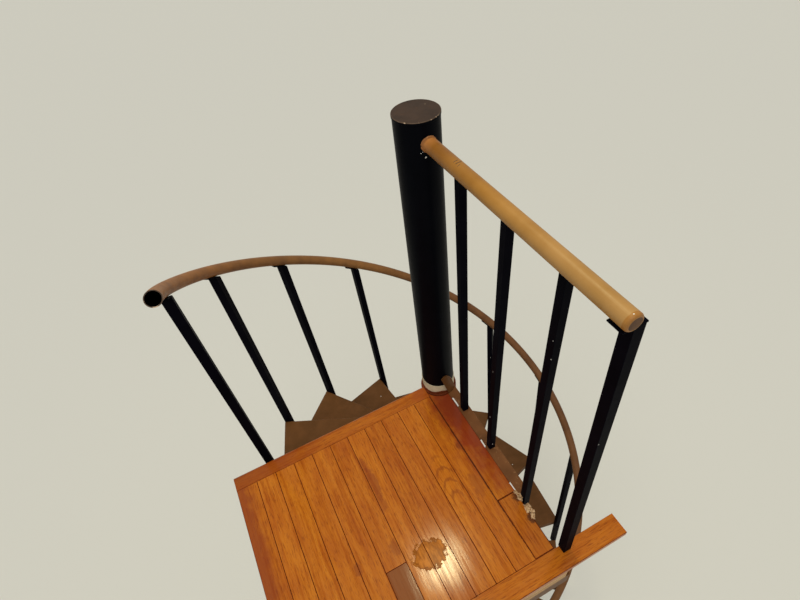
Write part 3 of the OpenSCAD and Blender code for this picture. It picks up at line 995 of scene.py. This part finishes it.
    def build(self) -> list[Piece]:
        """Builds and dresses the pieces.

        Returns:
            The pieces.
        """
        across = VarnishedOak("varnished_oak_edging", Along.X, self.edge_stains).material()
        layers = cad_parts["landing_subfloor"]
        layers.data.materials.clear()
        layers.data.materials.append(LayeredWood("raw_softwood_layers").material())
        return [
            self.floor(),
            self.edge_board("nosing_board", 0.55, 3.1, across),
            self.edge_board("threshold_board", 0.75, 7.7, across),
            copy_node("landing_frame", self.brown, self.frame_edge,
                      wanted=lambda edge: all(v.co.xy.length > self.pole_clear for v in edge.verts)),
            layers,
        ]


@dataclass
class SideStrip:
    """The brown angle beside the oak, with split wood along its seam and white slivers there painted as light seen
    through gaps.
    """

    edge: float = mm(1.2)
    draw: random.Random = field(default_factory=lambda: random.Random(5))
    # Each flake's middle, width and length in millimetres, and the splits' turn in degrees.
    # The slivers are white flakes: painted light seen through gaps between the oak and the strip.
    slivers: tuple = ((7.4, -96, 4.6, 36), (5.0, -256, 4.4, 29), (4.6, -403, 3.4, 26))
    splits: tuple = ((4, -424, 11, 22, 12), (9, -434, 9, 16, -15), (1, -440, 8, 18, 25), (4, -470, 14, 26, -10),
                     (10, -480, 12, 22, 20), (5, -494, 13, 20, -25), (12, -466, 8, 16, 8))

    def flake(self, into: Shape, middle: Sequence[float], size: Sequence[float], turn: float, rough: float) -> None:
        """Adds one flat ragged flake.

        Args:
            into: The piece that it joins.
            middle: The flake's middle in millimetres, with its height over the landing.
            size: Its width, length and thickness.
            turn: Its turn about the upright, in degrees.
            rough: How ragged it is, as a share of its size.
        """
        shape = bmesh.new()
        bmesh.ops.create_cube(shape, size=1.0)
        bmesh.ops.subdivide_edges(shape, edges=shape.edges, cuts=3, use_grid_fill=True)
        for vert in shape.verts:
            side = Vector((vert.co.x, vert.co.y, 0))
            vert.co -= side * self.draw.uniform(0, rough) * 2
            if vert.co.z > 0:
                vert.co.z *= self.draw.uniform(0.3, 1.0)
        spot = Matrix.Translation((mm(middle[0]), mm(middle[1]), LANDING_TOP + mm(middle[2])))
        grow = Matrix.Diagonal((*(mm(side) for side in size), 1))
        bmesh.ops.transform(shape, matrix=spot @ Matrix.Rotation(math.radians(turn), 4, "Z") @ grow,
                            verts=shape.verts)
        join(shape, into)

    def build(self) -> list[Piece]:
        """Builds and dresses the pieces.

        Returns:
            The pieces.
        """
        white, pale = bmesh.new(), bmesh.new()
        for x, y, wide, length in self.slivers:
            # The white slivers are painted light seen through the gaps.
            self.flake(white, (x, y, 0.5), (wide, length, 1.6), self.draw.uniform(-3, 3), 0.14)
        for x, y, wide, length, turn in self.splits:
            self.flake(pale, (x, y, -1), (wide, length, 9), turn, 0.3)
        return [
            copy_node("side_strip", STRIP.material(), self.edge),
            to_piece(white, "painted_gap_light_slivers", WHITE.material(), smooth=50),
            to_piece(pale, "split_oak_edge", SPLIT.material(), smooth=50),
        ]


@dataclass
class Guard:
    """The straight guard: coped tube, its welded end disc, three balusters and the end post."""

    black: Paint
    bar_edge: float = mm(1.4)
    post_edge: float = mm(1.8)
    bead: float = mm(1.6)
    bead_points: int = 48
    end_round: float = mm(4.5)
    brown_end: float = mm(8)

    def rail(self) -> Piece:
        """Builds the tube with its rounded end, browner over the last few millimetres, round a dark disc.

        Returns:
            The tube.
        """
        shape = merged_copy("guard_rail")
        soften(shape, self.end_round, 4, lambda edge: all(v.co.y < -GUARD_END + mm(0.5) for v in edge.verts))
        last = -GUARD_END + self.brown_end
        cut(shape, (0, last, 0), (0, 1, 0))
        piece = to_piece(shape, "guard_rail_dressed", TAN.material(), "guard_rail")
        repaint(piece, TUBE_END.material(), lambda face: face.center.y < last)
        repaint(piece, DISC.material(), lambda face: face.normal.y < -0.9 and face.center.y < -GUARD_END + mm(0.1))
        return piece

    def cope_weld(self) -> Piece:
        """Builds the thin painted weld where the tube meets the pole.

        Returns:
            The weld.
        """
        count, draw = self.bead_points, random.Random(3)
        points, radii = [], []
        for index in range(count):
            turn = 2 * math.pi * index / count
            wave = noise.noise(Vector((math.cos(turn) * 2, math.sin(turn) * 2, 4)))
            reach = TUBE_RADIUS + mm(0.2) + mm(0.8) * wave
            x, z = reach * math.cos(turn), GUARD_Z + reach * math.sin(turn)
            points.append(Vector((x, -math.sqrt(POLE_RADIUS ** 2 - x ** 2) - mm(0.3), z)))
            radii.append(self.bead * draw.uniform(0.8, 1.2))
        rings = [facing(points[i], points[(i + 1) % count] - points[i - 1]) @ Matrix.Scale(radii[i], 4)
                 for i in range(count)]
        return to_piece(skin(rings, 8, True), "guard_cope_weld", WELD.material(), smooth=60,
                        recalculate=True, flat=False)

    def build(self) -> list[Piece]:
        """Builds and dresses the pieces.

        Returns:
            The pieces.
        """
        return [
            self.rail(),
            *(copy_node(f"guard_baluster_{number}", self.black, self.bar_edge) for number in (1, 2, 3)),
            copy_node("guard_end_post", self.black, self.post_edge),
            self.cope_weld(),
        ]


@dataclass(frozen=True)
class Wear:
    """Single chips and scratches, each where the photograph shows it.

    A mark is its place in millimetres, its outward side, half its width, and how many widths long it is if not one.
    """

    thickness: float = mm(0.25)
    flecks: tuple = (
        ((-8.8, -48.2, 3639.4), (-0.18, -0.98, 0), 2.0), ((-17.8, -45.6, 3650.3), (-0.36, -0.93, 0), 1.1),
        ((-14.2, -46.9, 3652.5), (-0.29, -0.96, 0), 0.9), ((11.0, -275.9, 2966.9), (-1, 0, 0), 1.6),
        ((19.0, -283.0, 2822.4), (0, -1, 0), 1.5), ((13.3, -592.0, 3338.5), (0, -1, 0), 1.2),
        ((-76.5, 492.9, 2100.0), (0, 0, 1), 2.3), ((470.6, 133.5, 1470.0), (0, 0, 1), 2.6),
        # The first mark on the next line is a white spot drawn on the guard tube's closed end.
        ((-2.4, -585.5, 3681.7), (-0.08, 0, 1), 1.3), ((11.0, -451.0, 3422.9), (-1, 0, 0), 1.2),
        ((11.0, -447.8, 3472.2), (-1, 0, 0), 1.0), ((11.0, -279.2, 3175.8), (-1, 0, 0), 1.3),
        ((445.9, 347.1, 2218.3), (-0.73, -0.68, 0), 1.7),
    )
    strokes: tuple = (
        ((-3.4, -153.0, 3681.4), (-0.21, 0, 1), 1.0, 6.0), ((-0.4, -160.5, 3681.9), (-0.03, 0, 1), 0.9, 8.0),
        ((-5.0, -168.0, 3681.0), (-0.31, 0, 1), 0.9, 5.0),
    )

    def scatter(self, title: str, finish: Finish, seed: int, marks: Sequence) -> Piece:
        """Lays flat ragged chips or strokes on other pieces' faces.

        Args:
            title: The piece's name.
            finish: Its finish.
            seed: The seed of their outlines.
            marks: The marks.

        Returns:
            The piece.
        """
        shape, draw = bmesh.new(), random.Random(seed)
        for spot, out, radius, *stretch in marks:
            verts = bmesh.ops.create_cone(shape, cap_ends=True, segments=9, radius1=1.0, radius2=0.8,
                                          depth=1.0)["verts"]
            rays = {}
            for vert in verts:
                key = round(math.atan2(vert.co.y, vert.co.x), 2)
                rays.setdefault(key, draw.uniform(0.55, 1.15))
                vert.co.xy *= rays[key]
            away = Vector(out).normalized()
            length = mm(radius) * (stretch[0] if stretch else 1.0)
            place = facing(Vector(spot) / 1000 + away * self.thickness * 0.3, away)
            bmesh.ops.transform(shape, matrix=place @ Matrix.Diagonal((mm(radius), length, self.thickness, 1)),
                                verts=verts)
        return to_piece(shape, title, finish.material(), smooth=30)

    def build(self) -> list[Piece]:
        """Lays the chips and the scratches."""
        return [self.scatter("white_paint_flecks", WHITE, 17, self.flecks),
                self.scatter("rail_scratches", DARK, 23, self.strokes)]


@dataclass(frozen=True)
class Studio:
    """The pale floor, the lights and the camera, which aren't part of the stair."""

    floor_hex: str = "#d6d4c8"
    floor_half: float = 40
    sky_hex: str = "#f6f5f0"
    sky: float = 0.58
    sun: float = 1.3
    sun_spread: float = 50
    sun_ahead: Triple = (0.30, 0.45, -1.0)
    lamp_hex: str = "#fff3bc"
    lamp_side: float = 0.21
    lamp_watts: float = 19
    lamp_spot: Triple = (0.018, 0.245, 5.45)
    lamp_aim: Triple = (-0.2, -0.2, 2.8)
    eye: Triple = (-0.4085, -0.8588, 4.1825)
    yaw: float = 0.3553
    pitch: float = 0.8056
    roll: float = 0.1481
    lens: float = 22.99
    sensor: float = 36
    clip_end: float = 200

    def floor(self) -> None:
        """Lays the pale floor that carries the stair's shadow."""
        shape = bmesh.new()
        bmesh.ops.create_grid(shape, x_segments=1, y_segments=1, size=self.floor_half)
        mesh = bpy.data.meshes.new("studio_floor")
        shape.to_mesh(mesh)
        shape.free()
        matt = bpy.data.materials.new("pale_studio_floor")
        matt.use_nodes = True
        feed(matt.node_tree, matt.node_tree.nodes["Principled BSDF"],
             {"Base Color": srgb(self.floor_hex), "Roughness": 0.9})
        mesh.materials.append(matt)
        stand("studio_floor", mesh)

    def light(self) -> None:
        """Lights the stair softly from above, at a level at which colours render about as written."""
        world = bpy.data.worlds.new("studio_world")
        bpy.context.scene.world = world
        world.use_nodes = True
        feed(world.node_tree, world.node_tree.nodes["Background"], {"Color": srgb(self.sky_hex), "Strength": self.sky})
        data = bpy.data.lights.new("soft_sky_lamp", "SUN")
        data.energy = self.sun
        data.angle = math.radians(self.sun_spread)
        stand("soft_sky_lamp", data).rotation_euler = Vector(self.sun_ahead).to_track_quat("-Z", "Y").to_euler()
        # A small square lamp gives the glint beside the worn patch.
        data = bpy.data.lights.new("ceiling_lamp", "AREA")
        data.shape = "SQUARE"
        data.size = self.lamp_side
        data.energy = self.lamp_watts
        data.color = srgb(self.lamp_hex)[:3]
        lamp = stand("ceiling_lamp", data)
        lamp.location = self.lamp_spot
        lamp.rotation_euler = (Vector(self.lamp_aim) - Vector(self.lamp_spot)).to_track_quat("-Z", "Y").to_euler()

    def camera(self) -> None:
        """Sets the camera where the photograph was taken."""
        ahead = Vector((math.sin(self.yaw) * math.cos(self.pitch), math.cos(self.yaw) * math.cos(self.pitch),
                        -math.sin(self.pitch)))
        level = Vector((math.cos(self.yaw), -math.sin(self.yaw), 0))
        down = ahead.cross(level)
        right = math.cos(self.roll) * level + math.sin(self.roll) * down
        under = -math.sin(self.roll) * level + math.cos(self.roll) * down
        data = bpy.data.cameras.new("photo_camera")
        data.lens = self.lens
        data.sensor_width = self.sensor
        data.clip_end = self.clip_end
        camera = stand("photo_camera", data)
        camera.matrix_world = Matrix.Translation(self.eye) @ Matrix((right, -under, -ahead)).transposed().to_4x4()
        bpy.context.scene.camera = camera

    def build(self) -> None:
        """Sets the whole studio."""
        self.floor()
        self.light()
        self.camera()
        bpy.context.scene.view_settings.view_transform = "Standard"


def main() -> None:
    """Builds the sub-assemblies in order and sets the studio."""
    logging.basicConfig(level=logging.INFO, format="%(name)s: %(message)s")
    black, bars, brown = BLACK.material(), BARS.material(), BROWN.material()
    for assembly in (PoleAndBase(black, brown), Flight(bars, brown), Landing(brown), SideStrip(), Guard(bars), Wear()):
        for piece in assembly.build():
            LOG.info("%s: %d faces", piece.name, len(piece.data.polygons))
    Studio().build()


if __name__ == "__main__":
    main()
